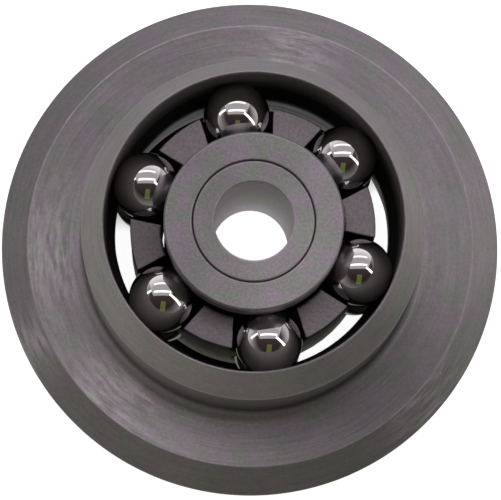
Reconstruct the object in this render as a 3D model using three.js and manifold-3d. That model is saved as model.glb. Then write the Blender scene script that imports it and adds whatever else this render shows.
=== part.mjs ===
// Flanged cam follower: a wheel-shaped outer ring that rolls on two rows of balls round
// a pair of inner rings, which a plain sleeve clamps to a bolt.
// Units are millimetres. The axis of the wheel is Z, the nose points up (+Z) and the
// origin is on the axis, in the plane of the lower ends of the sleeve and inner rings.

import * as THREE from "three";
import { mergeVertices } from "three/addons/utils/BufferGeometryUtils.js";
import Module from "manifold-3d";

const wasm = await Module();
wasm.setup();

// ---- Driving dimensions -------------------------------------------------------------

// Whole follower
const CLAMPED_LENGTH = 20.8; // sleeve and inner rings, face to face
const RING_SETBACK = 0.3; // outer ring stands back from each clamped face

// Balls and races
const BALL_DIAMETER = 7.144; // 9/32 inch
const BALL_COUNT = 6; // in each row
const FIRST_BALL_ANGLE = 0; // degrees from +X
const RACE_CLEARANCE = 0.06; // between a ball and the bottom of a race
const RACE_RADIUS_EXCESS = 0.11; // race arc radius over ball radius
const OUTER_SHOULDER_HEIGHT = 1.05; // central rib above the outer races
const INNER_SHOULDER_HEIGHT = 1.0; // end collar above the inner races
const LOWER_LIP_HEIGHT = 0.33; // low shoulder at the back of the lower outer race

// Sleeve and inner rings
const BOLT_BORE_DIAMETER = 8.3;
const SLEEVE_WALL = 2.2;
const SLEEVE_FIT_GAP = 0.1; // radial, sleeve to inner ring
const INNER_RING_WALL = 1.97; // under the bottom of an inner race
const INNER_RING_GAP = 0.1; // between the two inner rings
const FACE_CHAMFER = 0.12; // edges of the sleeve and of the inner ring bores
const COLLAR_CHAMFER = 0.2; // outer edge of the inner ring faces

// Cage
const CAGE_TO_COLLAR = 0.18; // radial, cage bore to inner ring collar
const CAGE_OUTER_OVER_PITCH = 0.9; // radial, cage rim outside the pitch circle
const CAGE_FINGER_REACH = 0.75; // upper fingers reach past the ball centres
const POCKET_CLEARANCE = 0.38; // pocket radius over ball radius, at the pitch circle
const POCKET_FLARE = 0.17; // growth of pocket radius for each mm outward
const CAGE_WEB = 0.7; // least web between the two rows of pockets
const CAGE_END_WEB = 0.5; // least web between the lower pockets and the cage's lower end

// Outer ring
const TREAD_WALL = 2.47; // between the outer races and the tread
const NOSE_LENGTH = 5.5;
const NOSE_EDGE_LAND = 0.12; // flat left at the mouth of the nose
const MOUTH_CHAMFER = 0.12;
const FLANGE_DIAMETER = 54.4;
const FLANGE_BEVEL_WIDTH = 2.9; // radial, from the flat of the flange to its rim
const FLANGE_THICKNESS = 2.6;
const FLANGE_RIM_LAND = 0.3; // short cylinder under the bevel
const FLANGE_FILLET = 1.5; // tread to flange
const BACK_CHAMFER = 0.4; // back edge of the bore

// Fineness of the faceted surfaces
const OUTER_RING_SIDES = 72;
const INNER_RING_SIDES = 48;
const CAGE_SIDES = 72;
const POCKET_SIDES = 24;
const BALL_SIDES = 16;
const BALL_BANDS = 10;
const RACE_ARC_STEPS = 5;
const LIP_ARC_STEPS = 3;
const FILLET_ARC_STEPS = 4;

// ---- Sizes worked out from the driving dimensions -----------------------------------

const middle = CLAMPED_LENGTH / 2;
const ballRadius = BALL_DIAMETER / 2;
const raceRadius = ballRadius + RACE_RADIUS_EXCESS;
const boreRadius = BOLT_BORE_DIAMETER / 2;
const sleeveRadius = boreRadius + SLEEVE_WALL;
const innerBoreRadius = sleeveRadius + SLEEVE_FIT_GAP;
const innerRaceBottom = innerBoreRadius + INNER_RING_WALL;
const pitchRadius = innerRaceBottom + RACE_CLEARANCE + ballRadius;
const collarRadius = innerRaceBottom + INNER_SHOULDER_HEIGHT;
const outerRaceBottom = pitchRadius + ballRadius + RACE_CLEARANCE;
const ribRadius = outerRaceBottom - OUTER_SHOULDER_HEIGHT;
const lipRadius = outerRaceBottom - LOWER_LIP_HEIGHT;
const cageInnerRadius = collarRadius + CAGE_TO_COLLAR;
const cageOuterRadius = pitchRadius + CAGE_OUTER_OVER_PITCH;
const pocketRadiusAtPitch = ballRadius + POCKET_CLEARANCE;
const pocketRadiusAtRim = pocketRadiusAtPitch + POCKET_FLARE * CAGE_OUTER_OVER_PITCH;
const rowOffset = pocketRadiusAtRim + CAGE_WEB / 2; // from the middle to a ball row
const cageTop = middle + rowOffset + CAGE_FINGER_REACH;
const cageBottom = middle - rowOffset - pocketRadiusAtRim - CAGE_END_WEB;
const treadRadius = outerRaceBottom + TREAD_WALL;
const flangeRadius = FLANGE_DIAMETER / 2;
const flangeFaceRadius = flangeRadius - FLANGE_BEVEL_WIDTH;
const ringTop = CLAMPED_LENGTH - RING_SETBACK;
const ringBottom = RING_SETBACK;
const flangeFaceHeight = ringBottom + FLANGE_THICKNESS;

// ---- Materials ----------------------------------------------------------------------

function steel(color, roughness) {
  return new THREE.MeshStandardMaterial({ color, roughness, metalness: 1 });
}

const turnedSteel = steel(0x8a8287, 0.42);
const groundSteel = steel(0x8f878c, 0.38);
const polishedSteel = steel(0xd8d8da, 0.05);
const cageSteel = steel(0x6e676b, 0.5);

// ---- Helpers ------------------------------------------------------------------------

const radians = THREE.MathUtils.degToRad;

// Points of an arc in the (radius, height) half-plane, both ends included.
function arc(centreRadius, centreHeight, radius, startDegrees, endDegrees, steps) {
  const points = [];
  for (let i = 0; i <= steps; i += 1) {
    const angle = radians(startDegrees + ((endDegrees - startDegrees) * i) / steps);
    const x = centreRadius + radius * Math.cos(angle);
    points.push([x, centreHeight + radius * Math.sin(angle)]);
  }
  return points;
}

// Closed profile of (radius, height) points, anticlockwise, turned round Z.
function turned(profile, sides) {
  const points = [...profile, profile[0]].map(([radius, height]) => new THREE.Vector2(radius, height));
  return new THREE.LatheGeometry(points, sides).rotateX(Math.PI / 2);
}

function toManifold(geometry) {
  const bare = geometry.clone();
  bare.deleteAttribute("normal");
  bare.deleteAttribute("uv");
  const merged = mergeVertices(bare, 1e-5);
  const vertProperties = new Float32Array(merged.attributes.position.array);
  const triVerts = new Uint32Array(merged.index.array);
  return new wasm.Manifold(new wasm.Mesh({ numProp: 3, vertProperties, triVerts }));
}

function fromManifold(solid) {
  const { vertProperties, triVerts } = solid.getMesh();
  const geometry = new THREE.BufferGeometry();
  geometry.setAttribute("position", new THREE.BufferAttribute(vertProperties, 3));
  geometry.setIndex(new THREE.BufferAttribute(triVerts, 1));
  geometry.computeVertexNormals();
  return geometry;
}

function addPiece(parent, name, geometry, material) {
  const mesh = new THREE.Mesh(geometry, material);
  mesh.name = name;
  parent.add(mesh);
  return mesh;
}

function ballAngle(index) {
  return radians(FIRST_BALL_ANGLE + (360 / BALL_COUNT) * index);
}

// ---- Outer ring ---------------------------------------------------------------------

// The two races and the rib between them, from the bottom of the upper race down to the
// low lip behind the lower one, as the inside of the outer ring.
function outerRaceProfile() {
  const centreRadius = outerRaceBottom - raceRadius;
  const reach = THREE.MathUtils.radToDeg(Math.acos((ribRadius - centreRadius) / raceRadius));
  const upper = arc(centreRadius, middle + rowOffset, raceRadius, 0, -reach, RACE_ARC_STEPS);
  const lower = arc(centreRadius, middle - rowOffset, raceRadius, reach, 0, RACE_ARC_STEPS);
  const lipReach = THREE.MathUtils.radToDeg(Math.acos((lipRadius - centreRadius) / raceRadius));
  const lip = arc(centreRadius, middle - rowOffset, raceRadius, 0, -lipReach, LIP_ARC_STEPS);
  return [...upper, ...lower, ...lip.slice(1)];
}

function outerRing() {
  const fillet = Math.min(FLANGE_FILLET, flangeFaceRadius - treadRadius);
  const filletArc = arc(
    treadRadius + fillet, flangeFaceHeight + fillet, fillet, 270, 180, FILLET_ARC_STEPS);
  const profile = [
    [lipRadius + BACK_CHAMFER, ringBottom],
    [flangeRadius, ringBottom],
    [flangeRadius, ringBottom + FLANGE_RIM_LAND],
    [flangeFaceRadius, flangeFaceHeight],
    ...filletArc,
    [treadRadius, ringTop - NOSE_LENGTH],
    [outerRaceBottom + MOUTH_CHAMFER + NOSE_EDGE_LAND, ringTop],
    [outerRaceBottom + MOUTH_CHAMFER, ringTop],
    [outerRaceBottom, ringTop - MOUTH_CHAMFER],
    ...outerRaceProfile(),
    [lipRadius, ringBottom + BACK_CHAMFER],
  ];
  return turned(profile, OUTER_RING_SIDES);
}

// ---- Sleeve and inner rings ---------------------------------------------------------

function sleeve() {
  const profile = [
    [boreRadius + FACE_CHAMFER, 0],
    [sleeveRadius - FACE_CHAMFER, 0],
    [sleeveRadius, FACE_CHAMFER],
    [sleeveRadius, CLAMPED_LENGTH - FACE_CHAMFER],
    [sleeveRadius - FACE_CHAMFER, CLAMPED_LENGTH],
    [boreRadius + FACE_CHAMFER, CLAMPED_LENGTH],
    [boreRadius, CLAMPED_LENGTH - FACE_CHAMFER],
    [boreRadius, FACE_CHAMFER],
  ];
  return turned(profile, INNER_RING_SIDES);
}

// An inner ring runs from the middle to one clamped face: a race for one row of balls
// and a collar at the face end. The lower ring is the upper one turned over.
function innerRing() {
  const row = middle + rowOffset;
  const centreRadius = innerRaceBottom + raceRadius;
  const reach = THREE.MathUtils.radToDeg(Math.acos((centreRadius - collarRadius) / raceRadius));
  const race = arc(centreRadius, row, raceRadius, 180, 180 - reach, RACE_ARC_STEPS);
  const profile = [
    [innerBoreRadius + FACE_CHAMFER, middle + INNER_RING_GAP / 2],
    [innerRaceBottom, middle + INNER_RING_GAP / 2],
    ...race,
    [collarRadius, CLAMPED_LENGTH - COLLAR_CHAMFER],
    [collarRadius - COLLAR_CHAMFER, CLAMPED_LENGTH],
    [innerBoreRadius + FACE_CHAMFER, CLAMPED_LENGTH],
    [innerBoreRadius, CLAMPED_LENGTH - FACE_CHAMFER],
    [innerBoreRadius, middle + INNER_RING_GAP / 2 + FACE_CHAMFER],
  ];
  return turned(profile, INNER_RING_SIDES);
}

// Turns a geometry over about the middle plane, top to bottom.
function turnedOver(geometry) {
  return geometry.clone().translate(0, 0, -middle).rotateX(Math.PI).translate(0, 0, middle);
}

// ---- Cage ---------------------------------------------------------------------------

// Cutter for one pocket: a cone whose axis runs outward through a ball centre.
function pocketCutter(angle, height) {
  const spare = 1;
  const start = cageInnerRadius * Math.cos(Math.PI / BALL_COUNT) - spare;
  const end = cageOuterRadius + spare;
  const startRadius = pocketRadiusAtPitch + POCKET_FLARE * (start - pitchRadius);
  const endRadius = pocketRadiusAtPitch + POCKET_FLARE * (end - pitchRadius);
  const cone = new THREE.CylinderGeometry(endRadius, startRadius, end - start, POCKET_SIDES);
  cone.rotateY(Math.PI / POCKET_SIDES);
  cone.rotateZ(-Math.PI / 2).translate((start + end) / 2, 0, 0);
  cone.rotateZ(angle).translate(0, 0, height);
  return cone;
}

// One ring for both rows. The lower pockets are closed all round; the upper ones are open
// at the end, so that a finger stands between each pair of balls.
function cage() {
  const blank = [
    [cageInnerRadius, cageBottom],
    [cageOuterRadius, cageBottom],
    [cageOuterRadius, cageTop],
    [cageInnerRadius, cageTop],
  ];
  let solid = toManifold(turned(blank, CAGE_SIDES));
  for (const side of [-1, 1]) {
    for (let i = 0; i < BALL_COUNT; i += 1) {
      const cutter = pocketCutter(ballAngle(i), middle + side * rowOffset);
      solid = solid.subtract(toManifold(cutter));
    }
  }
  return fromManifold(solid);
}

// ---- Balls --------------------------------------------------------------------------

function addBallRow(parent, rowName, height) {
  const geometry = new THREE.SphereGeometry(ballRadius, BALL_SIDES, BALL_BANDS);
  geometry.rotateX(Math.PI / 2);
  for (let i = 0; i < BALL_COUNT; i += 1) {
    const ball = addPiece(parent, `${rowName}_ball_${i + 1}`, geometry, polishedSteel);
    const angle = ballAngle(i);
    ball.position.set(pitchRadius * Math.cos(angle), pitchRadius * Math.sin(angle), height);
    ball.rotation.z = angle;
  }
}

// ---- Assembly -----------------------------------------------------------------------

const follower = new THREE.Group();

addPiece(follower, "outer_ring", outerRing(), turnedSteel);
addPiece(follower, "sleeve", sleeve(), groundSteel);
addPiece(follower, "upper_inner_ring", innerRing(), groundSteel);
addPiece(follower, "lower_inner_ring", turnedOver(innerRing()), groundSteel);
addPiece(follower, "cage", cage(), cageSteel);
addBallRow(follower, "upper", middle + rowOffset);
addBallRow(follower, "lower", middle - rowOffset);

export default follower;
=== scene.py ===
"""Flanged cam follower, laid out as an add-on.

Each operator makes one piece of the follower, or one group of like pieces, round the packed
frame. Lengths are in metres. The wheel's axis is Z and the nose points up.
"""

import math

import bmesh
import bpy
from bpy.props import FloatProperty, FloatVectorProperty, IntProperty, PointerProperty
from bpy.types import Operator, Panel, PropertyGroup
from mathutils import Matrix, Vector


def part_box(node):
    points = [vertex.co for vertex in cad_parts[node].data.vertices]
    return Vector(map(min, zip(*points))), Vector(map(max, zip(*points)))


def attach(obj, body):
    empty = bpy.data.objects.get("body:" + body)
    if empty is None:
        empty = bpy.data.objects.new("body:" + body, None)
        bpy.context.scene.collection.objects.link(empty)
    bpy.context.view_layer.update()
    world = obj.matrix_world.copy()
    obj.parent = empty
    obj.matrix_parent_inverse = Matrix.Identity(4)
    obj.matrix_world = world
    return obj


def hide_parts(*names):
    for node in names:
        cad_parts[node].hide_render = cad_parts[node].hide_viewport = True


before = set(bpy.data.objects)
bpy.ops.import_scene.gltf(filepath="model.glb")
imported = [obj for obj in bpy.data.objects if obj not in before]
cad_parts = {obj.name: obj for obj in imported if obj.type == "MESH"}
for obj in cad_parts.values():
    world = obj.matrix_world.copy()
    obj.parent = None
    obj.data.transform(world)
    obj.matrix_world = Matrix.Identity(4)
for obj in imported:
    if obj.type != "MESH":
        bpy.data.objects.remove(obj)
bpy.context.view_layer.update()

bl_info = {
    "name": "Flanged cam follower",
    "version": (1, 0, 0),
    "blender": (4, 5, 0),
    "location": "3D View > Sidebar > Cam follower",
    "description": "Makes the wheel, sleeve, inner rings, cage and balls of a flanged cam follower",
    "category": "Add Mesh",
}

MM = 0.001
ROWS = ("upper", "lower")
BALLS = 6

wheel_low, wheel_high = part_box("outer_ring")
sleeve_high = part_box("sleeve")[1]
inner_low, inner_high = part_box("upper_inner_ring")
cage_low, cage_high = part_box("cage")
ball_low, ball_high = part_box("upper_ball_1")
BALL_CENTRE = (ball_low + ball_high) / 2
BALL_RADIUS = (ball_high.z - ball_low.z) / 2
MIDDLE = sleeve_high.z / 2  # height halfway between the two rows of balls
ROW = BALL_CENTRE.z - MIDDLE  # height of the upper row above the middle
HALF_SECTOR = math.pi / BALLS  # half the turn from one ball to the next


# ---- Properties ---------------------------------------------------------------------


def length(name, default, description):
    """A size in metres."""
    return FloatProperty(
        name=name, default=default, min=0, precision=5, unit="LENGTH", subtype="DISTANCE",
        description=description)


def count(name, default, description):
    """A whole number of at least 3."""
    return IntProperty(name=name, default=default, min=3, description=description)


def share(name, default, description):
    """A number without a unit."""
    return FloatProperty(name=name, default=default, min=0, description=description)


def colour(name, default, description):
    """A colour without alpha."""
    return FloatVectorProperty(
        name=name, default=default, size=3, min=0, max=1, subtype="COLOR",
        description=description)


class WheelSizes(PropertyGroup):
    """Sizes of the turned outer ring."""

    radius: length("Flange radius", wheel_high.x, "Axis to the rim of the flange")
    low: length("Lower end", wheel_low.z, "Height of the flange's back")
    high: length("Nose end", wheel_high.z, "Height of the mouth")
    bore: length("Bore radius", 15.684 * MM, "Radius at the bottom of the races and at the mouth")
    rib: length("Rib radius", 14.634 * MM, "Radius of the rib between the races")
    lip: length("Lip radius", 15.354 * MM, "Radius of the low lip at the back of the bore")
    tread: length("Tread radius", 18.154 * MM, "Radius of the plain tread")
    nose: length("Nose length", 5.5 * MM, "Height of the coned nose")
    land: length("Mouth land", 0.12 * MM, "Flat left between the nose and the mouth")
    chamfer: length("Mouth chamfer", 0.12 * MM, "Chamfer inside the mouth")
    face: length("Flange face radius", 24.3 * MM, "Where the flat of the flange meets its bevel")
    thickness: length("Flange thickness", 2.6 * MM, "Back to flat of the flange")
    rim: length("Rim land", 0.3 * MM, "Short cylinder under the bevel")
    fillet: length("Fillet", 1.5 * MM, "Tread to flange")
    back: length("Back chamfer", 0.4 * MM, "Back edge of the bore")
    race: length("Race radius", 3.682 * MM, "Radius of the race arcs")
    sides: count("Sides", 288, "Flats that make up a turn")


class BearingSizes(PropertyGroup):
    """Sizes of the sleeve, the inner rings and the balls."""

    bolt: length("Bolt bore radius", 4.15 * MM, "Radius of the hole for the bolt")
    sleeve: length("Sleeve radius", sleeve_high.x, "Outside of the sleeve")
    end: length("Clamped length", sleeve_high.z, "Face to face of the sleeve")
    ring_bore: length("Inner ring bore", 6.45 * MM, "Radius of the hole in an inner ring")
    ring_race: length("Inner race radius", 8.42 * MM, "Radius at the bottom of an inner race")
    collar: length("Collar radius", inner_high.x, "Radius of an inner ring's end collar")
    split: length("Ring split", inner_low.z, "Height at which the upper inner ring starts")
    chamfer: length("Face chamfer", 0.12 * MM, "Edges of the sleeve and the ring bores")
    collar_chamfer: length("Collar chamfer", 0.2 * MM, "Outer edge of the inner ring faces")
    sides: count("Sides", 192, "Flats that make up a turn")
    ball: length("Ball radius", BALL_RADIUS, "Radius of a ball")
    fineness: count("Ball fineness", 6, "Subdivisions of a ball's mesh")


class CageSizes(PropertyGroup):
    """Sizes of the ball cage."""

    inside: length("Inner radius", 9.6 * MM, "Bore of the cage")
    outside: length("Outer radius", cage_high.x, "Outside of the cage")
    low: length("Lower end", cage_low.z, "Height of the lower fingers' ends")
    high: length("Upper end", cage_high.z, "Height of the upper fingers' ends")
    pocket: length("Pocket radius", 3.952 * MM, "Radius of a pocket at the ball centres")
    flare: share("Pocket flare", 0.17, "Growth of a pocket's radius per unit outward")
    edge: length("Edge round", 0.46 * MM, "Width of the rounded edges")
    groove: length("Groove depth", 0.07 * MM, "Depth of the turned groove near each end")


class FinishColours(PropertyGroup):
    """Colours of the steels."""

    wheel: colour("Turned steel", (0.355, 0.31, 0.353), "Outside of the wheel")
    oiled: colour("Oiled steel", (0.18, 0.165, 0.16), "Oiled bore of the wheel")
    ring: colour("Ground steel", (0.38, 0.318, 0.378), "Sleeve and inner rings")
    cage: colour("Cage steel", (0.33, 0.29, 0.318), "Cage")
    ball: colour("Ball steel", (0.72, 0.70, 0.71), "Balls")
    floor: colour("Floor", (0.9, 0.9, 0.9), "Pale floor")


# ---- Profiles of the turned pieces --------------------------------------------------


FINE_EDGE = 0.05 * MM  # round left on ground edges and small chamfers
MOUTH_EDGE = 0.04 * MM  # round at the top of the mouth's chamfer
TURNED_EDGE = 0.1 * MM  # round left on turned edges
RIM_EDGE = 0.12 * MM  # round at the flange's outer edges
NOSE_EDGE = 0.25 * MM  # round where the nose meets the tread
FLAT_SHARE = 0.3  # most of a flat that the point beside its edge may take up


def arc(centre, radius, start, end, steps):
    """Points of an arc round centre in the (radius, height) half-plane, ends included."""
    turns = [math.radians(start + (end - start) * i / steps) for i in range(steps + 1)]
    return [(centre[0] + radius * math.cos(t), centre[1] + radius * math.sin(t)) for t in turns]


def softened(corners, steps=4):
    """Rounds a closed profile of (radius, height, round) corners.

    Gives (radius, height, edge mark) points. A corner whose round is 0 stays as it is, and the edge
    mark is 1 on a rounded edge, where the finishes put edge wear and a painted highlight. A point
    is kept on the flat beside each edge, so that it shades flat.
    """
    points = []
    total = len(corners)
    for i, (x, y, size) in enumerate(corners):
        corner = Vector((x, y))
        if not size:
            points.append((x, y, 0.0))
            continue
        before = Vector(corners[i - 1][:2]) - corner
        after = Vector(corners[(i + 1) % total][:2]) - corner
        half = before.angle(after) / 2
        reach = size / math.tan(half)
        start = corner + before.normalized() * reach
        end = corner + after.normalized() * reach
        inwards = (before.normalized() + after.normalized()).normalized()
        middle = corner + inwards * size / math.sin(half)
        support = min(size, FLAT_SHARE * (before.length - reach))
        edge = start + before.normalized() * support
        points.append((edge.x, edge.y, 0.0))
        first, last = start - middle, end - middle
        sweep = math.atan2(first.x * last.y - first.y * last.x, first.dot(last))
        for k in range(steps + 1):
            spoke = Matrix.Rotation(sweep * k / steps, 2) @ first
            points.append((middle.x + spoke.x, middle.y + spoke.y, 1.0))
        support = min(size, FLAT_SHARE * (after.length - reach))
        edge = end + after.normalized() * support
        points.append((edge.x, edge.y, 0.0))
    return points


def kept(points):
    """Profile corners that stay as they are."""
    return [(x, y, 0.0) for x, y in points]


def wheel_profile(w):
    centre = w.bore - w.race
    reach = math.degrees(math.acos((w.rib - centre) / w.race))
    lip_reach = math.degrees(math.acos((w.lip - centre) / w.race))
    face = w.low + w.thickness
    return softened([
        (w.lip + w.back, w.low, TURNED_EDGE),
        (w.radius, w.low, RIM_EDGE),
        (w.radius, w.low + w.rim, TURNED_EDGE),
        (w.face, face, RIM_EDGE),
        *kept(arc((w.tread + w.fillet, face + w.fillet), w.fillet, 270, 180, 12)),
        (w.tread, w.high - w.nose, NOSE_EDGE),
        (w.bore + w.chamfer + w.land, w.high, FINE_EDGE),
        (w.bore + w.chamfer, w.high, MOUTH_EDGE),
        (w.bore, w.high - w.chamfer, FINE_EDGE),
        *kept(arc((centre, MIDDLE + ROW), w.race, 0, -reach, 12)),
        *kept(arc((centre, MIDDLE - ROW), w.race, reach, -lip_reach, 18)),
        (w.lip, w.low + w.back, TURNED_EDGE),
    ])


def sleeve_profile(b):
    return softened([
        (b.bolt + b.chamfer, 0, FINE_EDGE),
        (b.sleeve - b.chamfer, 0, FINE_EDGE),
        (b.sleeve, b.chamfer, FINE_EDGE),
        (b.sleeve, b.end - b.chamfer, FINE_EDGE),
        (b.sleeve - b.chamfer, b.end, FINE_EDGE),
        (b.bolt + b.chamfer, b.end, FINE_EDGE),
        (b.bolt, b.end - b.chamfer, FINE_EDGE),
        (b.bolt, b.chamfer, FINE_EDGE),
    ])


def inner_ring_profile(b, race):
    centre = b.ring_race + race
    reach = math.degrees(math.acos((centre - b.collar) / race))
    return softened([
        (b.ring_bore + b.chamfer, b.split, FINE_EDGE),
        (b.ring_race, b.split, FINE_EDGE),
        *kept(arc((centre, BALL_CENTRE.z), race, 180, 180 - reach, 12)),
        (b.collar, b.end - b.collar_chamfer, FINE_EDGE),
        (b.collar - b.collar_chamfer, b.end, FINE_EDGE),
        (b.ring_bore + b.chamfer, b.end, FINE_EDGE),
        (b.ring_bore, b.end - b.chamfer, FINE_EDGE),
        (b.ring_bore, b.split + b.chamfer, FINE_EDGE),
    ])


# ---- Geometry node trees ------------------------------------------------------------


GUIDE_RADIUS = 10 * MM  # circle that the profiles are carried round


def geometry_tree(name, sockets):
    """A tree that takes Geometry and the named sockets, its node maker and its input node."""
    tree = bpy.data.node_groups.new(name, "GeometryNodeTree")
    tree.interface.new_socket("Geometry", in_out="INPUT", socket_type="NodeSocketGeometry")
    for label, kind in sockets.items():
        tree.interface.new_socket(label, in_out="INPUT", socket_type="NodeSocket" + kind)
    tree.interface.new_socket("Geometry", in_out="OUTPUT", socket_type="NodeSocketGeometry")
    return tree, *node_maker(tree)


def node_maker(tree):
    """A function that adds a node, with its settings and inputs, and the tree's input node."""

    def add(kind, inputs=None, **settings):
        node = tree.nodes.new(kind)
        for key, value in settings.items():
            setattr(node, key, value)
        for key, value in (inputs or {}).items():
            if isinstance(value, bpy.types.NodeSocket):
                tree.links.new(value, node.inputs[key])
            else:
                node.inputs[key].default_value = value
        return node

    return add, add("NodeGroupInput")


def close_tree(tree, add, geometry, material):
    """Ends a tree in smooth shading, real geometry and its material."""
    smooth = add("GeometryNodeSetShadeSmooth", {"Geometry": geometry})
    real = add("GeometryNodeRealizeInstances", {"Geometry": smooth.outputs[0]})
    dressed = add("GeometryNodeSetMaterial", {"Geometry": real.outputs[0], "Material": material})
    add("NodeGroupOutput", {"Geometry": dressed.outputs[0]})
    return tree


def turned_tree():
    """Turns a closed profile, drawn in the XY plane, round the Z axis."""
    tree, add, given = geometry_tree(
        "Turned piece", {"Sides": "Int", "Guide Radius": "Float", "Material": "Material"})
    profile = add("GeometryNodeMeshToCurve", {"Mesh": given.outputs["Geometry"]})
    circle = add("GeometryNodeCurvePrimitiveCircle", {
        "Resolution": given.outputs["Sides"], "Radius": given.outputs["Guide Radius"]})
    swept = add("GeometryNodeCurveToMesh", {
        "Curve": circle.outputs[0], "Profile Curve": profile.outputs[0]})
    return close_tree(tree, add, swept.outputs[0], given.outputs["Material"])


def repeat_tree():
    """Repeats one sector round the Z axis, joins the copies and smooths the whole."""
    tree, add, given = geometry_tree("Repeated sector", {
        "Count": "Int", "Join Distance": "Float", "Smoothing": "Int", "Material": "Material"})
    points = add("GeometryNodePoints", {"Count": given.outputs["Count"]})
    number = add("GeometryNodeInputIndex")
    step = add("ShaderNodeMath", {0: math.tau, 1: given.outputs["Count"]}, operation="DIVIDE")
    turn = add("ShaderNodeMath", {0: number.outputs[0], 1: step.outputs[0]}, operation="MULTIPLY")
    spin = add("ShaderNodeCombineXYZ", {"Z": turn.outputs[0]})
    copies = add("GeometryNodeInstanceOnPoints", {
        "Points": points.outputs[0], "Instance": given.outputs["Geometry"],
        "Rotation": spin.outputs[0]})
    real = add("GeometryNodeRealizeInstances", {"Geometry": copies.outputs[0]})
    joined = add("GeometryNodeMergeByDistance", {
        "Geometry": real.outputs[0], "Distance": given.outputs["Join Distance"]})
    smooth = add("GeometryNodeSubdivisionSurface", {
        "Mesh": joined.outputs[0], "Level": given.outputs["Smoothing"]})
    return close_tree(tree, add, smooth.outputs[0], given.outputs["Material"])


def ball_tree():
    """One ball, at a centre, with no poles."""
    tree, add, given = geometry_tree("Ball", {
        "Radius": "Float", "Centre": "Vector", "Fineness": "Int", "Material": "Material"})
    ball = add("GeometryNodeMeshIcoSphere", {
        "Radius": given.outputs["Radius"], "Subdivisions": given.outputs["Fineness"]})
    moved = add("GeometryNodeTransform", {
        "Geometry": ball.outputs[0], "Translation": given.outputs["Centre"]})
    return close_tree(tree, add, moved.outputs[0], given.outputs["Material"])


def grown(name, mesh, tree, **values):
    """The plain mesh object that a tree makes of a mesh, with its inputs set by identifier."""
    seed = bpy.data.objects.new(name + "_seed", mesh)
    bpy.context.scene.collection.objects.link(seed)
    modifier = seed.modifiers.new(tree.name, "NODES")
    modifier.node_group = tree
    labels = {key.replace("_", " ").title(): value for key, value in values.items()}
    for item in tree.interface.items_tree:
        if item.in_out == "INPUT" and item.name in labels:
            modifier[item.identifier] = labels[item.name]
    evaluated = seed.evaluated_get(bpy.context.evaluated_depsgraph_get())
    result = bpy.data.meshes.new_from_object(evaluated)
    seed.modifiers.remove(modifier)
    bpy.data.objects.remove(seed)
    result.name = name
    return faced_out(result)


def faced_out(mesh):
    """Links a mesh as an object of its name, with its faces pointing outwards."""
    whole = bmesh.new()
    whole.from_mesh(mesh)
    bmesh.ops.recalc_face_normals(whole, faces=whole.faces)
    whole.to_mesh(mesh)
    whole.free()
    piece = bpy.data.objects.new(mesh.name, mesh)
    bpy.context.scene.collection.objects.link(piece)
    return piece


def profile_mesh(name, profile, guide):
    """A closed profile as edges, laid down for the turned tree: X is radius, Y is -height."""
    mesh = bpy.data.meshes.new(name)
    total = len(profile)
    corners = [(radius - guide, -height, 0) for radius, height, worn_and_lit in profile]
    mesh.from_pydata(corners, [(i, (i + 1) % total) for i in range(total)], [])
    # Marks the rounded edges, where the finishes put edge wear and a painted highlight.
    worn_and_lit = mesh.attributes.new("worn_and_lit", "FLOAT", "POINT")
    worn_and_lit.data.foreach_set("value", [point[2] for point in profile])
    return mesh


def turned(name, profile, sides, material):
    """A piece turned from its profile."""
    mesh = profile_mesh(name + "_profile", profile, GUIDE_RADIUS)
    return grown(name, mesh, TREES["turned"], sides=sides, guide_radius=GUIDE_RADIUS,
                 material=material)


def fit(piece, body, node):
    """Moves a piece with its body and hides the solid it stands for."""
    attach(piece, body)
    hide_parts(node)


# ---- Cage sector --------------------------------------------------------------------


FINGER_FOOT = -0.9 * MM  # height above the row at which a finger runs into the web
END_ROWS = (0, 1, 2.2, 3.6)  # rows near a finger's end, in edge widths below it
WEB_ROWS = 8  # rows from a finger's foot round to the bottom of the pocket
SIDE_ROWS = 3  # those of them that end beside the finger, above the middle
BASE_ROWS = WEB_ROWS - SIDE_ROWS  # those that end along the middle
DOWN_ROWS = 6  # rows of the lower half that end on its side
EDGE_SHARE = 0.35  # most of a row that its rounded edge may take up
FINGER_STEPS = (0.35, 0.7)  # places of the two steps between a finger's edge and its middle
LAST = 4  # number of the last step along a row, and of the outermost depth
GROOVE_ROW = 2  # row that is set back at the outermost depth
POCKET_PASSES = 6  # repeats after which a pocket's radius has settled
TURN_PASSES = 8  # repeats after which a turn round a pocket has settled
SAME_POINT = 0.0001 * MM  # points closer than this in a sector are one
SAME_SEAM = 0.001 * MM  # points closer than this in neighbouring sectors are one


def pocket_point(c, radius, turn):
    """Angle and height above the row of the pocket's edge at a radius, turn round the pocket."""
    across = c.pocket
    for _ in range(POCKET_PASSES):
        depth = math.sqrt(radius**2 - (across * math.cos(turn)) ** 2)
        across = c.pocket + c.flare * (depth - math.hypot(BALL_CENTRE.x, BALL_CENTRE.y))
    return math.asin(across * math.cos(turn) / radius), across * math.sin(turn)


def pocket_turn(c, radius, height):
    """Turn round the pocket at which its edge is at a height above the row."""
    turn = 0.0
    for _ in range(TURN_PASSES):
        across = pocket_point(c, radius, turn)[1] / math.sin(turn) if turn else c.pocket
        turn = math.asin(height / across)
    return turn


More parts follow.
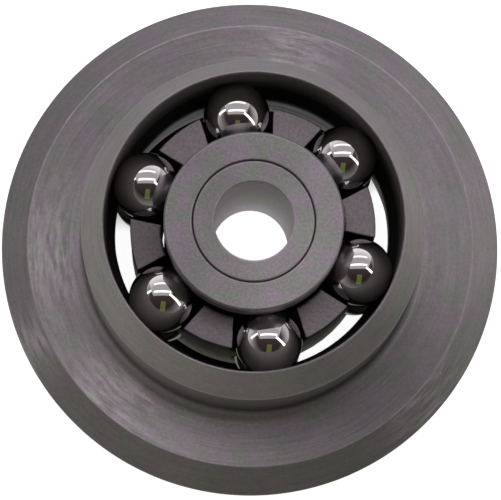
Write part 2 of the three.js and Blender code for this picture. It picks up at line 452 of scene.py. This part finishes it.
def open_half(c):
    """Rows of the upper half, from the finger's end down to the web: (kind, value, far).

    kind says whether value is a height above the row of balls or a turn round the pocket. far
    is where the row ends, as (angle, height above the middle).
    """
    reach = c.high - BALL_CENTRE.z
    heights = [reach - steps * c.edge for steps in END_ROWS] + [FINGER_FOOT]
    rows = [("height", height, (HALF_SECTOR, ROW + height)) for height in heights]
    start = math.asin(FINGER_FOOT / c.pocket)
    for k in range(1, WEB_ROWS + 1):
        turn = start + (-math.pi / 2 - start) * k / WEB_ROWS
        if k <= SIDE_ROWS:
            far = (HALF_SECTOR, (ROW + FINGER_FOOT) * (1 - k / SIDE_ROWS))
        else:
            far = (HALF_SECTOR * (WEB_ROWS - k) / BASE_ROWS, 0.0)
        rows.append(("turn", turn, far))
    return rows


def closed_half(c):
    """Rows of the lower half, from the web round the pocket to the cage's lower end."""
    end = MIDDLE - c.low
    far = [(HALF_SECTOR * k / BASE_ROWS, 0.0) for k in range(BASE_ROWS + 1)]
    far += [(HALF_SECTOR, end * k / DOWN_ROWS) for k in range(1, DOWN_ROWS + 1)]
    far += [(HALF_SECTOR * k / BASE_ROWS, end) for k in range(BASE_ROWS - 1, -1, -1)]
    steps = len(far) - 1
    return [("turn", math.pi * (k / steps - 0.5), point) for k, point in enumerate(far)]


def row_steps(c, gap, ended):
    """Places of the five steps along a row of length gap, as shares of it."""
    first = min(c.edge, EDGE_SHARE * gap) / gap
    if ended:
        return 0.0, first, 0.5, 1 - first, 1.0
    return (0.0, first, *(first + (1 - first) * step for step in FINGER_STEPS), 1.0)


def cage_block(c, rows, depths, ended):
    """Corners (radius, angle, height) of a curved block beside a pocket, and its outer quads.

    Row t runs from the pocket's edge to its far point in steps s, at each depth q. Row 0 is a
    finger's end. Where ended is set, the last rows finish on the cage's lower end instead.
    """
    block = {}
    for t, (kind, value, far) in enumerate(rows):
        for q, radius in enumerate(depths):
            turn = pocket_turn(c, radius, value) if kind == "height" else value
            angle, rise = pocket_point(c, radius, turn)
            near = (angle, ROW + rise)
            gap = math.hypot((far[0] - near[0]) * radius, far[1] - near[1])
            grooved = q == LAST and t == GROOVE_ROW and not ended
            out = radius - c.groove if grooved else radius
            for s, part in enumerate(row_steps(c, gap, ended)):
                block[t, s, q] = (out, near[0] + (far[0] - near[0]) * part,
                                  near[1] + (far[1] - near[1]) * part)
    quads = []
    for t in range(len(rows) - 1):
        for s in range(LAST):
            for q in (0, LAST):
                quads.append([(t, s, q), (t + 1, s, q), (t + 1, s + 1, q), (t, s + 1, q)])
        edges = (0, LAST) if ended and t >= BASE_ROWS + DOWN_ROWS else (0,)
        for q in range(LAST):
            for s in edges:
                quads.append([(t, s, q), (t + 1, s, q), (t + 1, s, q + 1), (t, s, q + 1)])
    if not ended:
        for s in range(LAST):
            for q in range(LAST):
                quads.append([(0, s, q), (0, s + 1, q), (0, s + 1, q + 1), (0, s, q + 1)])
    return block, quads


def cage_sector(c):
    """One upper finger and the lower half below it, half a pocket wide on each side.

    Each half is a curved block beside a pocket, copied across the finger's middle.
    """
    thick = c.outside - c.inside
    depths = [c.inside + s for s in (0, c.edge, thick * 0.5, thick - c.edge, thick)]
    halves = ((1, cage_block(c, open_half(c), depths, False)),
              (-1, cage_block(c, closed_half(c), depths, True)))
    points, faces = [], []
    for rise, (block, quads) in halves:
        for hand in (1, -1):
            for quad in quads:
                faces.append(range(len(points), len(points) + 4))
                for radius, angle, height in (block[corner] for corner in quad):
                    turn = HALF_SECTOR + hand * (HALF_SECTOR - angle)
                    points.append((radius * math.cos(turn), radius * math.sin(turn),
                                   MIDDLE + rise * height))
    mesh = bpy.data.meshes.new("cage_sector")
    mesh.from_pydata(points, [], faces)
    sector = bmesh.new()
    sector.from_mesh(mesh)
    bmesh.ops.remove_doubles(sector, verts=sector.verts, dist=SAME_POINT)
    sector.to_mesh(mesh)
    sector.free()
    return mesh


# ---- Shader groups and materials ----------------------------------------------------

SMALLEST_RADIUS = 0.001 * MM  # keeps a division on the axis from failing
FLATTEN = (1, 1, 0)  # times a place, drops its height

# Parts of the turn that a finish treats apart, as (turn in degrees from the right of the main
# view, sharpness). They place painted light, painted shade and painted glints on the pieces,
# and the floor's painted shadows and glow.
# Painted light towards the lower left and the right of the wheel, painted shade towards its lower
# right.
PAINTED_LIGHT_LOWER_LEFT = (226, 3.0)
PAINTED_LIGHT_RIGHT = (0, 12.0)
PAINTED_SHADE_LOWER_RIGHT = (312, 9.0)
# Painted shade on the wheel's bevel towards the left.
PAINTED_SHADE_BEVEL = (165, 2.0)
# Painted shade on the nose towards the bottom of the main view.
PAINTED_SHADE_NOSE = (272, 6.0)
# Painted glints on the flange face and on its bevel.
PAINTED_FACE_GLINTS = (182, 50.0), (228, 60.0), (78, 140.0)
PAINTED_BEVEL_GLINTS = (204, 260.0), (318, 90.0)
# Painted light on the rings and sleeve towards the lower right.
PAINTED_LIGHT_RINGS = (318, 1.6)
# Painted shade on the cage's fingers towards the left.
PAINTED_SHADE_FINGER = (188, 24.0)
FLOOR_SHADOWS = (68, 9.0), (128, 9.0), (248, 9.0)
GLOWING_FLOOR = (90, 1.0)

# Radii between which a finish changes over.
BEVEL_START = 24.25 * MM, 24.35 * MM
FACE_START = 18.8 * MM, 20.2 * MM
BORE_END = 15.69 * MM, 15.74 * MM
# Radii over which the painted shade on the bore's rib clears.
PAINTED_SHADE_CLEARS = 15.45 * MM, 15.66 * MM
# Radii at which the painted light in the bolt hole ends.
BOLT_HOLE_LIGHT_END = 4.22 * MM, 4.3 * MM
SHADOW_START = 8.0 * MM, 9.0 * MM
SHADOW_END = 16.5 * MM, 17.5 * MM

COOLED = (0.84, 1.07, 0.82)  # times a warm grey, gives the greenish one beside it
MIRRORED_FLOOR = (0.3, 0.3, 0.28)  # colour of the floor to what mirrors it
FLOOR_GLOW = (0.82, 0.85, 0.68)  # its light on the side away from the lamps
WHITE = (1, 1, 1)


def shader_group(name, inputs, outputs):
    """A group with inputs of label: (kind, default) and outputs of label: kind."""
    tree = bpy.data.node_groups.new(name, "ShaderNodeTree")
    for label, (kind, default) in inputs.items():
        socket = tree.interface.new_socket(label, in_out="INPUT", socket_type="NodeSocket" + kind)
        socket.default_value = default
    for label, kind in outputs.items():
        tree.interface.new_socket(label, in_out="OUTPUT", socket_type="NodeSocket" + kind)
    return tree, *node_maker(tree)


def maths(add, operation, *values):
    """The result of an operation on numbers or sockets."""
    return add("ShaderNodeMath", dict(enumerate(values)), operation=operation).outputs[0]


def mapped(add, value, low, high, start=0.0, end=1.0):
    """value from start..end mapped to low..high."""
    return add("ShaderNodeMapRange", {
        "Value": value, "From Min": start, "From Max": end, "To Min": low, "To Max": high,
    }).outputs[0]


def mixed(add, share_of_b, a, b, mode="MIX"):
    """Colour a blended with colour b."""
    a, b = (c if isinstance(c, bpy.types.NodeSocket) else (*c[:3], 1) for c in (a, b))
    return add("ShaderNodeMix", {0: share_of_b, 6: a, 7: b}, data_type="RGBA", blend_type=mode,
               clamp_factor=True).outputs[2]


def spread_out(add, noise, contrast):
    """A noise of about a half with its contrast raised, kept within 0 and 1."""
    centred = maths(add, "SUBTRACT", noise, 0.5)
    raised = maths(add, "MULTIPLY", centred, contrast)
    return add("ShaderNodeMath", {0: raised, 1: 0.5}, operation="ADD", use_clamp=True).outputs[0]


def turning_marks():
    """Rings left by turning or grinding.

    The marks change with radius and height and hardly with the turn. Where Wander is high they
    are short arcs.
    """
    tree, add, given = shader_group("Turning marks", {
        "Rings": ("Float", 4000.0), "Wander": ("Float", 1.0), "Seed": ("Float", 0.0),
        "Sharpness": ("Float", 1.0)}, {"Marks": "Float"})
    place = add("ShaderNodeTexCoord")
    x, y, z = add("ShaderNodeSeparateXYZ", {0: place.outputs["Object"]}).outputs
    squares = maths(add, "ADD", maths(add, "MULTIPLY", x, x), maths(add, "MULTIPLY", y, y))
    radius = maths(add, "SQRT", squares)
    safe = maths(add, "MAXIMUM", radius, SMALLEST_RADIUS)
    rings, wander = given.outputs["Rings"], given.outputs["Wander"]
    across = maths(add, "ADD", maths(add, "MULTIPLY", radius, rings), given.outputs["Seed"])
    spot = add("ShaderNodeCombineXYZ", {
        "X": across,
        "Y": maths(add, "MULTIPLY", z, rings),
        "Z": maths(add, "MULTIPLY", maths(add, "DIVIDE", x, safe), wander)})
    noise = add("ShaderNodeTexNoise", {
        "Vector": spot.outputs[0],
        "W": maths(add, "MULTIPLY", maths(add, "DIVIDE", y, safe), wander),
        "Scale": 1.0, "Detail": 3.0, "Roughness": 0.6}, noise_dimensions="4D")
    add("NodeGroupOutput", {
        "Marks": spread_out(add, noise.outputs[0], given.outputs["Sharpness"])})
    return tree


def blotches():
    """Soft uneven patches of tone."""
    tree, add, given = shader_group("Blotches", {
        "Scale": ("Float", 200.0), "Contrast": ("Float", 1.0)}, {"Tone": "Float"})
    place = add("ShaderNodeTexCoord")
    noise = add("ShaderNodeTexNoise", {
        "Vector": place.outputs["Object"], "Scale": given.outputs["Scale"],
        "Detail": 4.0, "Roughness": 0.55})
    add("NodeGroupOutput", {"Tone": spread_out(add, noise.outputs[0], given.outputs["Contrast"])})
    return tree


def sector_tone():
    """1 towards one side of the axis, falling to 0 away from it, faster where Sharpness is high."""
    tree, add, given = shader_group("Sector tone", {
        "Side": ("Vector", (1.0, 0.0, 0.0)), "Sharpness": ("Float", 1.0)}, {"Tone": "Float"})
    place = add("ShaderNodeTexCoord")
    level = add("ShaderNodeVectorMath", {0: place.outputs["Object"], 1: FLATTEN},
                operation="MULTIPLY")
    spoke = add("ShaderNodeVectorMath", {0: level.outputs[0]}, operation="NORMALIZE")
    along = add("ShaderNodeVectorMath", {
        0: spoke.outputs[0], 1: given.outputs["Side"]}, operation="DOT_PRODUCT")
    tone = maths(add, "MULTIPLY_ADD", along.outputs["Value"], 0.5, 0.5)
    add("NodeGroupOutput", {"Tone": maths(add, "POWER", tone, given.outputs["Sharpness"])})
    return tree


def edge_wear():
    """Where the rounded edges have been rubbed bright, with a painted highlight on top of the wear,
    broken up by grain.
    """
    tree, add, given = shader_group(
        "Edge wear", {"Amount": ("Float", 0.5), "Scale": ("Float", 900.0)}, {"Wear": "Float"})
    worn_and_lit = add("ShaderNodeAttribute", attribute_name="worn_and_lit")
    place = add("ShaderNodeTexCoord")
    noise = add("ShaderNodeTexNoise", {
        "Vector": place.outputs["Object"], "Scale": given.outputs["Scale"], "Detail": 2.0})
    rubbed_and_lit = maths(add, "MULTIPLY", worn_and_lit.outputs["Fac"], noise.outputs[0])
    add("NodeGroupOutput", {"Wear": maths(add, "MULTIPLY", rubbed_and_lit, given.outputs["Amount"])})
    return tree


class Finish:
    """A material's node tree with short calls for the nodes that the finishes share."""

    def __init__(self, name):
        self.material = bpy.data.materials.new(name)
        self.material.use_nodes = True
        tree = self.material.node_tree
        tree.nodes.clear()
        self.add, spare = node_maker(tree)
        tree.nodes.remove(spare)

    def group(self, name, output, **inputs):
        """An output of a shared group placed with its own inputs."""
        labels = {key.replace("_", " ").title(): value for key, value in inputs.items()}
        node = self.add("ShaderNodeGroup", node_tree=GROUPS[name])
        for key, value in labels.items():
            node.inputs[key].default_value = value
        return node.outputs[output]

    def blend(self, share_of_b, a, b, mode="MIX"):
        return mixed(self.add, share_of_b, a, b, mode)

    def ramp(self, value, low, high, start=0.0, end=1.0):
        return mapped(self.add, value, low, high, start, end)

    def times(self, a, b):
        return maths(self.add, "MULTIPLY", a, b)

    def larger(self, a, b):
        return maths(self.add, "MAXIMUM", a, b)

    def mottled(self, warm, scale, spread):
        """A steel's colour drifting between a warm and a greenish grey, lighter and darker."""
        cool = [channel * factor for channel, factor in zip(warm, COOLED)]
        base = self.blend(self.group("blotches", "Tone", scale=scale, contrast=5.0), warm, cool)
        tone = self.group("blotches", "Tone", scale=scale * 0.45, contrast=2.2)
        base = self.shaded(base, self.ramp(tone, 1.0 - spread, 1.0 + spread))
        return self.speckled(base, 0.13)

    def speckled(self, colour, spread):
        """A colour with fine grain."""
        grain = self.group("blotches", "Tone", scale=3600.0, contrast=3.5)
        return self.shaded(colour, self.ramp(grain, 1.0 - spread, 1.0 + spread))

    def radius(self):
        """Distance from the axis."""
        place = self.add("ShaderNodeTexCoord").outputs["Object"]
        level = self.add("ShaderNodeVectorMath", {0: place, 1: FLATTEN}, operation="MULTIPLY")
        return self.add(
            "ShaderNodeVectorMath", {0: level.outputs[0]}, operation="LENGTH").outputs["Value"]

    def sectors(self, *sectors):
        """The strongest of the sector tones at each (turn, sharpness)."""
        tones = [self.group("sector", "Tone", side=side(turn), sharpness=sharpness)
                 for turn, sharpness in sectors]
        strongest = tones[0]
        for tone in tones[1:]:
            strongest = self.larger(strongest, tone)
        return strongest

    def shaded(self, colour, factor):
        """A colour times a factor that changes over the surface."""
        grey = self.add("ShaderNodeCombineXYZ", {axis: factor for axis in "XYZ"})
        return self.blend(1.0, colour, grey.outputs[0], "MULTIPLY")

    def bump(self, height, strength, distance, normal=None):
        """A normal from a height, on top of another normal where one is given."""
        inputs = {"Height": height, "Strength": strength, "Distance": distance}
        if normal:
            inputs["Normal"] = normal
        return self.add("ShaderNodeBump", inputs).outputs[0]

    def close(self, inputs):
        """Ends the material in its shader."""
        shader = self.add("ShaderNodeBsdfPrincipled", inputs)
        self.add("ShaderNodeOutputMaterial", {"Surface": shader.outputs[0]})
        return self.material


def side(turn):
    """The direction on the level of the wheel at a turn from the right of the main view."""
    right, up, _ = view_axes()
    way = right * math.cos(math.radians(turn)) + up * math.sin(math.radians(turn))
    return Vector((way.x, way.y, 0)).normalized()


def scaled(rgb, factor):
    """A colour made lighter or darker."""
    return tuple(min(1.0, channel * factor) for channel in rgb)


def wheel_finish(colours):
    """Dark turned steel: rings and grain, an oiled bore with painted shade on the rib between its
    races, painted light and shade by side, painted glints on the flange and its bevel, and edge
    wear with a painted highlight.
    """
    f = Finish("Turned wheel steel")
    rings = f.group("marks", "Marks", rings=7000.0, wander=3.0, seed=3.0, sharpness=2.6)
    coarse = f.group("marks", "Marks", rings=1500.0, wander=5.0, seed=11.0, sharpness=2.6)
    grain = f.group("blotches", "Tone", scale=1400.0, contrast=1.6)
    base = f.mottled(colours.wheel, 330.0, 0.12)
    base = f.blend(f.ramp(rings, 0.0, 0.5), base, scaled(colours.wheel, 0.75))
    base = f.blend(f.ramp(coarse, 0.0, 0.45), base, scaled(colours.wheel, 1.25))
    base = f.blend(f.ramp(grain, 0.0, 0.3), base, scaled(colours.wheel, 0.7))

    # Painted light towards the lower left and the right, painted shade towards the lower right.
    painted_light_lower_left = f.ramp(f.sectors(PAINTED_LIGHT_LOWER_LEFT), 0.92, 1.42)
    right = f.ramp(f.sectors(PAINTED_LIGHT_RIGHT), 1.0, 1.45)
    painted_shade_lower_right = f.ramp(f.sectors(PAINTED_SHADE_LOWER_RIGHT), 1.0, 0.78)
    base = f.shaded(base, f.times(f.times(painted_light_lower_left, painted_shade_lower_right), right))

    radius = f.radius()
    bevel = f.ramp(radius, 0.0, 1.0, *BEVEL_START)
    face = f.ramp(radius, 0.0, 1.0, *FACE_START)
    # Painted shade on the bevel towards the left.
    bevel_shade = f.times(bevel, f.sectors(PAINTED_SHADE_BEVEL))
    base = f.shaded(base, f.ramp(bevel_shade, 1.0, 0.68))
    # Painted shade on the nose towards the bottom.
    nose_shade = f.times(f.ramp(face, 1.0, 0.0), f.sectors(PAINTED_SHADE_NOSE))
    base = f.shaded(base, f.ramp(nose_shade, 1.0, 0.84))

    # Painted highlights: streaky glints on the flange face and its bevel.
    painted_face_glints = f.times(f.sectors(*PAINTED_FACE_GLINTS), face)
    painted_glints = f.blend(bevel, painted_face_glints, f.sectors(*PAINTED_BEVEL_GLINTS))
    glint_streaks = f.group("marks", "Marks", rings=2200.0, wander=9.0, seed=2.0, sharpness=4.0)
    base = f.shaded(base, f.ramp(f.times(painted_glints, glint_streaks), 1.0, 1.7))
    # Edge wear on the rounded edges, brightened further as a painted highlight.
    base = f.blend(f.group("wear", "Wear", amount=1.1), base, scaled(colours.wheel, 1.55))

    inside = f.ramp(radius, 1.0, 0.0, *BORE_END)
    # The oiled steel of the bore, with painted shade on the rib between the races.
    oiled = f.shaded(colours.oiled, f.ramp(radius, 0.22, 1.1, *PAINTED_SHADE_CLEARS))
    normal = f.bump(rings, 0.25, 0.02 * MM)
    return f.close({
        "Base Color": f.blend(inside, base, oiled),
        "Metallic": f.ramp(inside, 1.0, 0.35),
        "Roughness": f.ramp(rings, 0.44, 0.58),
        "Normal": f.bump(grain, 0.15, 0.03 * MM, normal),
        "Anisotropic": 0.6,
        "Tangent": f.add("ShaderNodeTangent", direction_type="RADIAL", axis="Z").outputs[0]})


def ring_finish(colours):
    """Satin ground steel, with painted light towards the lower right and in the bolt hole, and edge
    wear with a painted highlight.
    """
    f = Finish("Ground ring steel")
    rings = f.group("marks", "Marks", rings=12000.0, wander=3.0, seed=5.0, sharpness=1.4)
    base = f.mottled(colours.ring, 420.0, 0.1)
    base = f.blend(f.ramp(rings, 0.0, 0.3), base, scaled(colours.ring, 0.8))
    # Painted light towards the lower right.
    base = f.shaded(base, f.ramp(f.sectors(PAINTED_LIGHT_RINGS), 0.95, 1.34))
    # Painted light in the bolt hole.
    base = f.shaded(base, f.ramp(f.radius(), 1.6, 1.0, *BOLT_HOLE_LIGHT_END))
    # Edge wear on the rounded edges, brightened further as a painted highlight.
    base = f.blend(f.group("wear", "Wear", amount=1.1), base, scaled(colours.ring, 1.5))
    return f.close({
        "Base Color": base, "Metallic": 1.0, "Roughness": f.ramp(rings, 0.42, 0.54),
        "Normal": f.bump(rings, 0.2, 0.01 * MM)})


def cage_finish(colours):
    """Dull machined steel with a fine speckle, and painted shade on the fingers towards the left.
    """
    f = Finish("Machined cage steel")
    rings = f.group("marks", "Marks", rings=7000.0, wander=4.0, seed=8.0, sharpness=1.2)
    tone = f.group("blotches", "Tone", scale=500.0, contrast=1.5)
    base = f.blend(tone, scaled(colours.cage, 0.82), scaled(colours.cage, 1.18))
    base = f.speckled(base, 0.16)
    # Painted shade on the fingers towards the left.
    base = f.shaded(base, f.ramp(f.sectors(PAINTED_SHADE_FINGER), 1.0, 0.7))
    base = f.blend(f.ramp(rings, 0.0, 0.3), base, scaled(colours.cage, 0.75))
    return f.close({
        "Base Color": base, "Metallic": 1.0, "Roughness": f.ramp(tone, 0.42, 0.56),
        "Normal": f.bump(rings, 0.2, 0.01 * MM)})


def ball_finish(colours):
    """Mirror-bright steel."""
    f = Finish("Polished ball steel")
    tone = f.group("blotches", "Tone", scale=700.0, contrast=1.5)
    base = f.blend(tone, scaled(colours.ball, 0.94), scaled(colours.ball, 1.04))
    return f.close({
        "Base Color": base, "Metallic": 1.0, "Roughness": f.ramp(tone, 0.03, 0.07)})


def floor_finish(colours):
    """Pale where it is seen, duller to the pieces that mirror it, dark under the wheel's gaps."""
    f = Finish("Pale floor")
    tone = f.group("blotches", "Tone", scale=6.0, contrast=1.0)
    pale = f.blend(tone, scaled(colours.floor, 0.98), colours.floor)
    radius = f.radius()
    under_gaps = f.times(
        f.ramp(radius, 1.0, 0.0, *SHADOW_END), f.ramp(radius, 0.0, 1.0, *SHADOW_START))
    shadow = f.times(f.sectors(*FLOOR_SHADOWS), under_gaps)
    from_below = f.add("ShaderNodeNewGeometry").outputs["Backfacing"]
    open_floor = f.larger(f.ramp(shadow, 1.0, 0.0, 0.25, 0.5), from_below)
    seen = f.add("ShaderNodeLightPath").outputs["Is Camera Ray"]
    lamp_side = f.sectors(GLOWING_FLOOR)
    seen_glow = f.times(f.ramp(seen, 0.0, 0.95), open_floor)
    mirrored_glow = f.times(f.ramp(seen, 1.0, 0.0), f.ramp(lamp_side, 0.22, 0.5))
    return f.close({
        "Base Color": f.shaded(f.blend(seen, MIRRORED_FLOOR, pale), open_floor),
        "Roughness": 0.9,
        "Emission Color": f.blend(f.larger(seen, lamp_side), FLOOR_GLOW, WHITE),
        "Emission Strength": f.larger(seen_glow, mirrored_glow)})


TREES = {}
GROUPS = {}
MATERIALS = {}


def prepare():
    """Makes the node trees and shader groups that the pieces share, once."""
    if not TREES:
        TREES.update(turned=turned_tree(), repeated=repeat_tree(), ball=ball_tree())
        GROUPS.update(marks=turning_marks(), blotches=blotches(), sector=sector_tone(),
                      wear=edge_wear())


def material(maker):
    """The material that a finish function makes, made once."""
    prepare()
    if maker not in MATERIALS:
        MATERIALS[maker] = maker(bpy.context.scene.follower_colours)
    return MATERIALS[maker]


# ---- Operators ----------------------------------------------------------------------


class FOLLOWER_OT_wheel(Operator):
    """Make the turned outer ring: nose, tread, flange and races"""

    bl_idname = "follower.wheel"
    bl_label = "Outer ring"

    def execute(self, context):
        wheel = context.scene.follower_wheel
        piece = turned("wheel_ring", wheel_profile(wheel), wheel.sides, material(wheel_finish))
        fit(piece, "outer_ring", "outer_ring")
        return {"FINISHED"}


class FOLLOWER_OT_sleeve(Operator):
    """Make the sleeve that the bolt goes through"""

    bl_idname = "follower.sleeve"
    bl_label = "Sleeve"

    def execute(self, context):
        bearing = context.scene.follower_bearing
        piece = turned(
            "clamp_sleeve", sleeve_profile(bearing), bearing.sides, material(ring_finish))
        fit(piece, "inner_group", "sleeve")
        return {"FINISHED"}


class FOLLOWER_OT_inner_rings(Operator):
    """Make the two inner rings, the lower one turned over"""

    bl_idname = "follower.inner_rings"
    bl_label = "Inner rings"

    def execute(self, context):
        bearing = context.scene.follower_bearing
        upper = inner_ring_profile(bearing, context.scene.follower_wheel.race)
        lower = [(radius, bearing.end - height, worn_and_lit) for radius, height, worn_and_lit in upper]
        for row, profile in zip(ROWS, (upper, lower)):
            piece = turned(row + "_race_ring", profile, bearing.sides, material(ring_finish))
            fit(piece, "inner_group", row + "_inner_ring")
        return {"FINISHED"}


class FOLLOWER_OT_cage(Operator):
    """Make the cage whose fingers stand between the balls"""

    bl_idname = "follower.cage"
    bl_label = "Cage"

    def execute(self, context):
        finish = material(cage_finish)
        sector = cage_sector(context.scene.follower_cage)
        piece = grown("ball_cage", sector, TREES["repeated"], count=BALLS,
                      join_distance=SAME_SEAM, smoothing=2, material=finish)
        fit(piece, "cage", "cage")
        return {"FINISHED"}


class FOLLOWER_OT_balls(Operator):
    """Make the polished balls of both rows"""

    bl_idname = "follower.balls"
    bl_label = "Balls"

    def execute(self, context):
        bearing = context.scene.follower_bearing
        finish = material(ball_finish)
        for row in ROWS:
            for number in range(1, BALLS + 1):
                node = f"{row}_ball_{number}"
                low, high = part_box(node)
                seed = bpy.data.meshes.new(node + "_seed")
                piece = grown(
                    "polished_" + node, seed, TREES["ball"], radius=bearing.ball,
                    centre=(low + high) / 2, fineness=bearing.fineness, material=finish)
                fit(piece, node, node)
        return {"FINISHED"}


# ---- Stage --------------------------------------------------------------------------

VIEW_DISTANCE = 364 * MM
VIEW_OFFSET = (-0.364 * MM, -3.037 * MM)  # right and up, from the middle of the upper face
VIEW_BACK_TURN = 13.4  # degrees, as are the next two
VIEW_RISE = 82.0
VIEW_ROLL = 8.7
SENSOR_WIDTH = 36
LENS = 251.5
NEAREST_SEEN = 10 * MM

FLOOR_HALF_SIDE = 3.0
FLOOR_GAP = 0.05 * MM  # between the floor and the wheel's back, so that they don't flicker

# Strip lights: name, directions of the two ends from the follower as (right, up, back) of the
# main view, distance and width in metres, power in watts, colour.
STRIPS = (
    ("Near tube", (-0.475, 0.363, 0.80), (0.475, 0.363, 0.80), 0.8, 0.09, 0.3, WHITE),
    ("Far tube", (-0.44, 0.72, 0.54), (0.44, 0.72, 0.54), 0.8, 0.09, 0.2, WHITE),
    ("Left tube", (-0.60, 0.42, 0.68), (-0.88, 0.14, 0.45), 0.8, 0.09, 0.2, WHITE),
    ("Right tube", (0.416, 0.245, 0.875), (0.86, -0.34, 0.37), 0.8, 0.09, 0.5, WHITE),
    ("Green card", (-0.12, -0.43, 0.9), (0.16, -0.46, 0.88), 0.6, 0.36, 0.032,
     (0.55, 0.8, 0.12)),
    ("Ceiling", (-0.62, 0.62, 0.48), (0.62, 0.62, 0.48), 1.2, 1.7, 3.3, WHITE),
)

SKY_OLIVE = (0.8, 0.84, 0.62)  # low, on the side away from the lamps
SKY_PALE = (1, 0.97, 0.97)
SKY_ROSE = (1, 0.72, 0.72)  # overhead


def view_axes():
    """Right, up and back directions of the main view."""
    turn, rise, roll = (math.radians(v) for v in (VIEW_BACK_TURN, VIEW_RISE, VIEW_ROLL))
    back = Vector((
        math.sin(turn) * math.cos(rise), -math.cos(turn) * math.cos(rise), math.sin(rise)))
    level = Vector((math.cos(turn), math.sin(turn), 0))
    tall = back.cross(level)
    right = level * math.cos(roll) + tall * math.sin(roll)
    up = tall * math.cos(roll) - level * math.sin(roll)
    return right, up, back


def placed(scene, name, data, centre, axes):
    """Links an object at a centre, with its X, Y and Z along the axes."""
    item = bpy.data.objects.new(name, data)
    scene.collection.objects.link(item)
    item.matrix_world = Matrix.Translation(centre) @ Matrix(axes).transposed().to_4x4()
    return item


def add_camera(scene):
    right, up, back = view_axes()
    data = bpy.data.cameras.new("Main view")
    data.sensor_width = SENSOR_WIDTH
    data.lens = LENS
    data.clip_start = NEAREST_SEEN
    across, along = VIEW_OFFSET
    centre = Vector((0, 0, sleeve_high.z)) + right * across + up * along + back * VIEW_DISTANCE
    scene.camera = placed(scene, "Main view", data, centre, (right, up, back))


def add_floor(scene):
    mesh = bpy.data.meshes.new("floor")
    ground = bmesh.new()
    bmesh.ops.create_grid(ground, x_segments=8, y_segments=8, size=FLOOR_HALF_SIDE)
    bmesh.ops.translate(ground, verts=ground.verts, vec=(0, 0, -FLOOR_GAP))
    ground.to_mesh(mesh)
    ground.free()
    mesh.materials.append(material(floor_finish))
    floor = bpy.data.objects.new("floor", mesh)
    scene.collection.objects.link(floor)


def add_sky(scene):
    """Soft light all round: brightest low down on the lamps' side, dim and rosy overhead."""
    up = view_axes()[1]
    world = bpy.data.worlds.new("Studio")
    scene.world = world
    world.use_nodes = True
    tree = world.node_tree
    add, spare = node_maker(tree)
    tree.nodes.remove(spare)
    ray = add("ShaderNodeTexCoord").outputs["Generated"]
    height = add("ShaderNodeSeparateXYZ", {0: ray}).outputs[2]
    towards = add("ShaderNodeVectorMath", {0: ray, 1: up}, operation="DOT_PRODUCT")
    lamp_side = mapped(add, towards.outputs["Value"], 0.36, 1.0, -0.6, 0.2)
    glow = mapped(add, height, 0.6, 0.06, 0.35, 0.75)
    overhead = mapped(add, height, 0.0, 1.0, 0.55, 0.75)
    colour = mixed(add, overhead, mixed(add, lamp_side, SKY_OLIVE, SKY_PALE), SKY_ROSE)
    background = tree.nodes["Background"]
    tree.links.new(colour, background.inputs["Color"])
    tree.links.new(maths(add, "MULTIPLY", glow, lamp_side), background.inputs["Strength"])


def add_strip(scene, name, start, end, distance, width, power, tint):
    """A long area light between two directions, facing the middle of the follower."""
    aim = Vector((0, 0, MIDDLE))
    axes = view_axes()
    first, last = (
        aim + sum((axis * part for axis, part in zip(axes, ways)), Vector()).normalized() * distance
        for ways in (start, end))
    light = bpy.data.lights.new(name, "AREA")
    light.shape = "RECTANGLE"
    light.size = (last - first).length
    light.size_y = width
    light.energy = power
    light.color = tint
    centre = (first + last) / 2
    along = (last - first).normalized()
    facing = centre - aim
    facing = (facing - along * facing.dot(along)).normalized()
    placed(scene, name, light, centre, (along, facing.cross(along), facing))


class FOLLOWER_OT_stage(Operator):
    """Make the floor, the lights and the camera"""

    bl_idname = "follower.stage"
    bl_label = "Stage"

    def execute(self, context):
        scene = context.scene
        scene.view_settings.view_transform = "Standard"
        add_camera(scene)
        add_floor(scene)
        add_sky(scene)
        for strip in STRIPS:
            add_strip(scene, *strip)
        return {"FINISHED"}


# ---- Panel and registration ---------------------------------------------------------


class FOLLOWER_PT_panel(Panel):
    """Lists the pieces of the follower and their sizes"""

    bl_label = "Cam follower"
    bl_idname = "FOLLOWER_PT_panel"
    bl_space_type = "VIEW_3D"
    bl_region_type = "UI"
    bl_category = "Cam follower"

    def draw(self, context):
        for operator in OPERATORS:
            self.layout.operator(operator.bl_idname)
        for owner, group in SETTINGS.items():
            box = self.layout.box()
            box.label(text=group.__doc__)
            for name in group.__annotations__:
                box.prop(getattr(context.scene, owner), name)


OPERATORS = (
    FOLLOWER_OT_wheel, FOLLOWER_OT_sleeve, FOLLOWER_OT_inner_rings, FOLLOWER_OT_cage,
    FOLLOWER_OT_balls, FOLLOWER_OT_stage)
SETTINGS = {
    "follower_wheel": WheelSizes, "follower_bearing": BearingSizes,
    "follower_cage": CageSizes, "follower_colours": FinishColours}


def register():
    for item in (*SETTINGS.values(), *OPERATORS, FOLLOWER_PT_panel):
        bpy.utils.register_class(item)
    for owner, group in SETTINGS.items():
        setattr(bpy.types.Scene, owner, PointerProperty(type=group))


def unregister():
    for owner in SETTINGS:
        delattr(bpy.types.Scene, owner)
    for item in reversed((*SETTINGS.values(), *OPERATORS, FOLLOWER_PT_panel)):
        bpy.utils.unregister_class(item)


def main():
    register()
    for step in ("wheel", "sleeve", "inner_rings", "cage", "balls", "stage"):
        getattr(bpy.ops.follower, step)()


if __name__ == "__main__":
    main()
